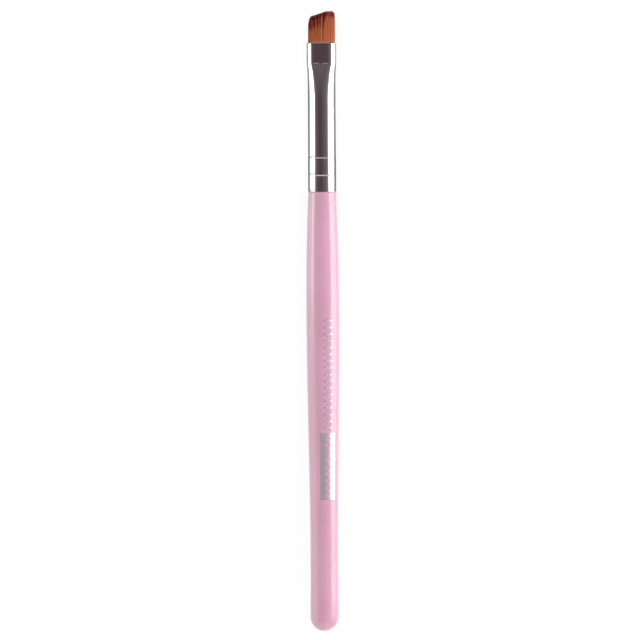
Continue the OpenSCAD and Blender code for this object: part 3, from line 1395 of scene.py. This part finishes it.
    def build(self, material: bpy.types.Material) -> bpy.types.Object:
        """Lays every strand along the bundle and gives it its tone.

        Args:
            material: The hair.

        Returns:
            The tuft.
        """
        rng = random.Random(self.seed)
        plain = self.plain_strand()
        corners = [vert.co.copy() for vert in plain.vertices]
        mesh = self.repeat(plain)
        clumps: dict[tuple[int, int], Clump] = {}
        places: list[float] = []
        carried: dict[str, list[float]] = {"tone": [], "rise": [], "dip": []}
        for u, v in self.seeds(rng):
            strand = self.grow(u, v, self.clump(u, v, clumps, rng), rng)
            for corner in corners:
                place, rise = self.bend(strand, corner)
                places.extend(place)
                carried["tone"].append(strand.tone)
                carried["rise"].append(rise)
                carried["dip"].append(strand.dip)
        mesh.vertices.foreach_set("co", places)
        for name, values in carried.items():
            mesh.attributes.new(name, "FLOAT", "POINT").data.foreach_set("value", values)
        mesh.shade_smooth()
        mesh.materials.append(material)
        mesh.update()
        tuft = bpy.data.objects.new("synthetic_hair", mesh)
        bpy.context.scene.collection.objects.link(tuft)
        hand_over(tuft, Slot.HAIR, Node.HAIR)
        return tuft


@dataclass(frozen=True)
class StripLight:
    """One long strip light beside the brush.

    Its angles are measured about the brush's axis, and its start is where its end on the butt's
    side is, in metres along the brush from its middle.
    """

    name: str
    side: Side
    rays: Rays
    from_top_deg: float
    width_deg: float
    radiance: float
    start_m: float
    length_m: float = 0.7
    distance_m: float = 1.2

    def hang(self) -> None:
        """Hangs the lamp, facing the brush."""
        width = 2 * self.distance_m * math.tan(math.radians(self.width_deg / 2))
        lamp = bpy.data.lights.new(self.name, "AREA")
        lamp.shape = "RECTANGLE"
        lamp.size = width
        lamp.size_y = self.length_m
        lamp.energy = self.radiance * math.pi * width * self.length_m
        lean = math.radians(self.from_top_deg) * self.side.value
        place = Vector((math.sin(lean), 0.0, math.cos(lean))) * self.distance_m
        place.y = self.start_m + self.length_m / 2
        light = bpy.data.objects.new(self.name, lamp)
        light.visible_diffuse = self.rays is Rays.MATT
        light.visible_glossy = self.rays is Rays.GLOSS
        light.matrix_world = Matrix.Translation(place) @ Matrix.Rotation(lean, 4, "Y")
        bpy.context.scene.collection.objects.link(light)


@dataclass
class Studio:
    """A pale floor, a soft light all round, three strip lights and the camera.

    A strip light to each side shows in gloss alone, and the third one lights matt surfaces from the
    tall side. The strip of floor beneath the brush is matt in gloss. It carries a painted shadow, grey
    in gloss alone, as far as strip_right by the ferrule's barrel, and as far as strip_right_low by the
    rest of the brush.
    """

    layout: Layout
    photo_px: float = 640.0
    mm_per_px: float = 0.26405
    lens_mm: float = 350.0
    sensor_mm: float = 36.0
    tilt_deg: float = 5.0
    lean_deg: float = 6.0
    roll_deg: float = 0.35
    right_of_middle_px: float = 3.0
    below_middle_px: float = 1.5
    floor_half_m: float = 4.0
    strip_left: float = -28.5
    strip_right: float = 12.5
    strip_right_low: float = -2.0
    strip_widens: float = 31.0
    strip_narrows: float = 68.0
    strip_fade: float = 1.0
    strip_end_fade: float = 2.0
    # The grey of the painted shadow that polished metal mirrors beneath the brush.
    painted_shadow_grey: Colour = (0.55, 0.55, 0.55)
    floor_pale: Colour = (0.95, 0.95, 0.95)
    floor_polish: float = 0.85
    floor_mirror: Colour = (0.9, 0.9, 0.9)
    floor_roughness: float = 0.2
    seen_shade: Colour = (0.16, 0.16, 0.16)
    seen_glow: float = 0.84
    dome_low: float = 0.5
    dome_high: float = 1.3
    ends: Colour = (0.9, 0.9, 0.9)
    end_from: float = 0.45
    end_to: float = 0.8
    mist: float = 0.09
    white: Colour = (1.0, 1.0, 1.0)
    overhead: tuple[tuple[float, Colour], ...] = (
        (-58, (1.0, 1.0, 1.0)),
        (-51, (0.2, 0.18, 0.18)),
        (-40, (0.11, 0.085, 0.085)),
        (-14, (0.075, 0.048, 0.053)),
        (2, (0.075, 0.048, 0.053)),
        (20, (0.11, 0.085, 0.086)),
        (38, (0.13, 0.11, 0.113)),
        (48, (0.17, 0.15, 0.153)),
        (55, (0.34, 0.32, 0.33)),
        (63, (0.95, 0.95, 0.95)),
    )
    lights: tuple[StripLight, ...] = (
        StripLight("key_strip", Side.TALL, Rays.GLOSS, 82.0, 32.0, 4.8, -0.22),
        StripLight("fill_strip", Side.SHORT, Rays.GLOSS, 72.0, 22.0, 4.0, -0.1),
        StripLight("soft_strip", Side.TALL, Rays.MATT, 86.0, 30.0, 9.5, -0.15),
    )

    def floor_material(self) -> bpy.types.Material:
        """Makes the floor's material.

        The camera sees it white, with the brush's soft shadow. In gloss it is polished, so that it
        doubles the strip lights, but for the strip beneath the brush, which is matt and carries a
        painted shadow, grey in gloss alone, that gives polished metal its dark outlines.

        Returns:
            The material.
        """
        material, tree = new_material("pale_floor")
        rays = tree.add("ShaderNodeLightPath")
        seen = Num(tree, rays.outputs["Is Camera Ray"])
        mirrored = Num(tree, rays.outputs["Is Glossy Ray"])
        across = tree.axis("X")
        along = tree.axis("Y")
        fade, end_fade = self.strip_fade, self.strip_end_fade
        wide = along.between(self.strip_widens - end_fade, self.strip_widens + end_fade)
        narrow = along.between(self.strip_narrows - end_fade, self.strip_narrows + end_fade)
        right = (wide - narrow) * (self.strip_right - self.strip_right_low) + self.strip_right_low
        beyond = (across - self.strip_right).between(-fade, fade)
        strip = (across - self.strip_left).between(-fade, fade) * (1 - beyond)
        # Painted shadow: grey in gloss alone, beneath the brush.
        painted_shadow = strip * mirrored * (1 - (across - right).between(-fade, fade))
        colour = tree.mix(painted_shadow, self.floor_pale, self.painted_shadow_grey)
        matt = tree.add("ShaderNodeBsdfDiffuse", None, {"Color": colour})
        sockets = {"Color": self.floor_mirror, "Roughness": self.floor_roughness}
        polish = tree.add("ShaderNodeBsdfGlossy", None, sockets)
        polished = (1 - strip) * mirrored * self.floor_polish
        plain = self.blend(tree, polished, matt, polish)
        shaded = tree.add("ShaderNodeBsdfDiffuse", None, {"Color": self.seen_shade})
        sockets = {"Color": self.white, "Strength": self.seen_glow}
        glow = tree.add("ShaderNodeEmission", None, sockets)
        white = tree.add("ShaderNodeAddShader", None, {0: shaded.outputs[0], 1: glow.outputs[0]})
        mixed = self.blend(tree, seen, plain, white)
        tree.add("ShaderNodeOutputMaterial", None, {"Surface": mixed.outputs[0]})
        return material

    @staticmethod
    def blend(tree: Tree, share: Num, low: bpy.types.Node, high: bpy.types.Node) -> bpy.types.Node:
        """Mixes two shaders.

        Args:
            tree: The node tree.
            share: How much of the second shader is used.
            low: The first shader.
            high: The second shader.

        Returns:
            The mixed shader.
        """
        sockets = {0: share, 1: low.outputs[0], 2: high.outputs[0]}
        return tree.add("ShaderNodeMixShader", None, sockets)

    def floor(self) -> bpy.types.Object:
        """Lays the floor.

        Returns:
            The floor.
        """
        bm = bmesh.new()
        bmesh.ops.create_grid(bm, x_segments=1, y_segments=1, size=self.floor_half_m)
        floor = add_piece("floor", bm, self.floor_material(), 30)
        return floor

    def surroundings(self) -> None:
        """Sets the soft light all round, with the dim ceiling that polished metal mirrors."""
        world = bpy.data.worlds.new("studio")
        bpy.context.scene.world = world
        world.use_nodes = True
        tree = Tree(world.node_tree)
        rays = tree.add("ShaderNodeLightPath")
        camera = Num(tree, rays.outputs["Is Camera Ray"])
        glossy = Num(tree, rays.outputs["Is Glossy Ray"])
        toward = tree.add("ShaderNodeTexCoord").outputs["Generated"]
        parts = tree.add("ShaderNodeSeparateXYZ", None, {0: toward})
        across = Num(tree, parts.outputs["X"])
        along = Num(tree, parts.outputs["Y"])
        bands = [(self.ramp_place(turn_deg), colour) for turn_deg, colour in self.overhead]
        stops = [(0.0, self.white), *bands, (1.0, self.white)]
        band = tree.add("ShaderNodeValToRGB", {"stops": stops}, {0: across * 0.5 + 0.5})
        mist = along.between(-0.1, 0.7) * self.mist
        ends = abs(along).between(self.end_from, self.end_to).math("MAXIMUM", mist)
        mirrored = tree.mix(ends, band.outputs[0], self.ends)
        height = Num(tree, parts.outputs["Z"]).between(0.2, 0.8)
        dome = tree.mix(height, (self.dome_low,) * 3, (self.dome_high,) * 3)
        seen = tree.mix(camera, tree.mix(glossy, dome, mirrored), self.white)
        background = tree.add("ShaderNodeBackground", None, {"Color": seen, "Strength": 1.0})
        tree.add("ShaderNodeOutputWorld", None, {"Surface": background.outputs[0]})

    @staticmethod
    def ramp_place(turn_deg: float) -> float:
        """Gives the ramp's place for a direction that many degrees from straight up."""
        return math.sin(math.radians(turn_deg)) / 2 + 0.5

    def camera(self) -> bpy.types.Object:
        """Looks down on the brush with a long lens, from a little beyond the hair's tall side.

        Returns:
            The camera, which the scene renders from.
        """
        data = bpy.data.cameras.new("camera")
        data.lens = self.lens_mm
        data.sensor_width = self.sensor_mm
        data.clip_start = 0.05
        data.clip_end = 20.0
        camera = bpy.data.objects.new("camera", data)
        bpy.context.scene.collection.objects.link(camera)
        tilt = math.radians(self.tilt_deg)
        lean = Matrix.Rotation(math.radians(self.lean_deg), 3, "Y")
        back = lean @ Vector((0.0, math.sin(tilt), math.cos(tilt)))
        upright = lean @ Vector((0.0, math.cos(tilt), -math.sin(tilt)))
        roll = math.radians(self.roll_deg)
        side = upright.cross(back)
        up = upright * math.cos(roll) + side * math.sin(roll)
        right = up.cross(back)
        px = self.mm_per_px * MM
        half_view = self.photo_px * px / 2
        distance = half_view / (self.sensor_mm / 2 / self.lens_mm)
        middle = self.layout.point(0.0, self.layout.tip / 2, 0.0)
        aim = middle - right * (self.right_of_middle_px * px) + up * (self.below_middle_px * px)
        place = aim + back * distance
        camera.matrix_world = Matrix((
            (right.x, up.x, back.x, place.x),
            (right.y, up.y, back.y, place.y),
            (right.z, up.z, back.z, place.z),
            (0.0, 0.0, 0.0, 1.0),
        ))
        bpy.context.scene.camera = camera
        return camera

    def build(self) -> None:
        """Sets the floor, the light and the camera."""
        self.floor()
        self.surroundings()
        for light in self.lights:
            light.hang()
        self.camera()
        bpy.context.scene.view_settings.view_transform = "Standard"


def dress_glue(material: bpy.types.Material) -> None:
    """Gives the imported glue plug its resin.

    Args:
        material: The resin.
    """
    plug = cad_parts[Node.GLUE.value]
    plug.data.materials.clear()
    plug.data.materials.append(material)
    log.info("%s: dressed", plug.name)


def main() -> None:
    """Builds the brush and its studio."""
    logging.basicConfig(level=logging.INFO, format="%(name)s %(message)s")
    layout = Layout.read()
    lacquer = PinkLacquer().material()
    metal = PolishedMetal(layout).material()
    foil = SilverFoil().material()
    ferrule = Ferrule(layout)
    handle = Handle(layout, ferrule)
    handle.build(lacquer)
    ferrule.build(metal)
    prints = FoilPrint(layout, handle)
    prints.panel(foil)
    prints.chain(foil)
    prints.knockouts(lacquer)
    Tuft(layout, ferrule).build(SyntheticHair().material())
    dress_glue(CuredResin().material())
    Studio(layout).build()


if __name__ == "__main__":
    main()
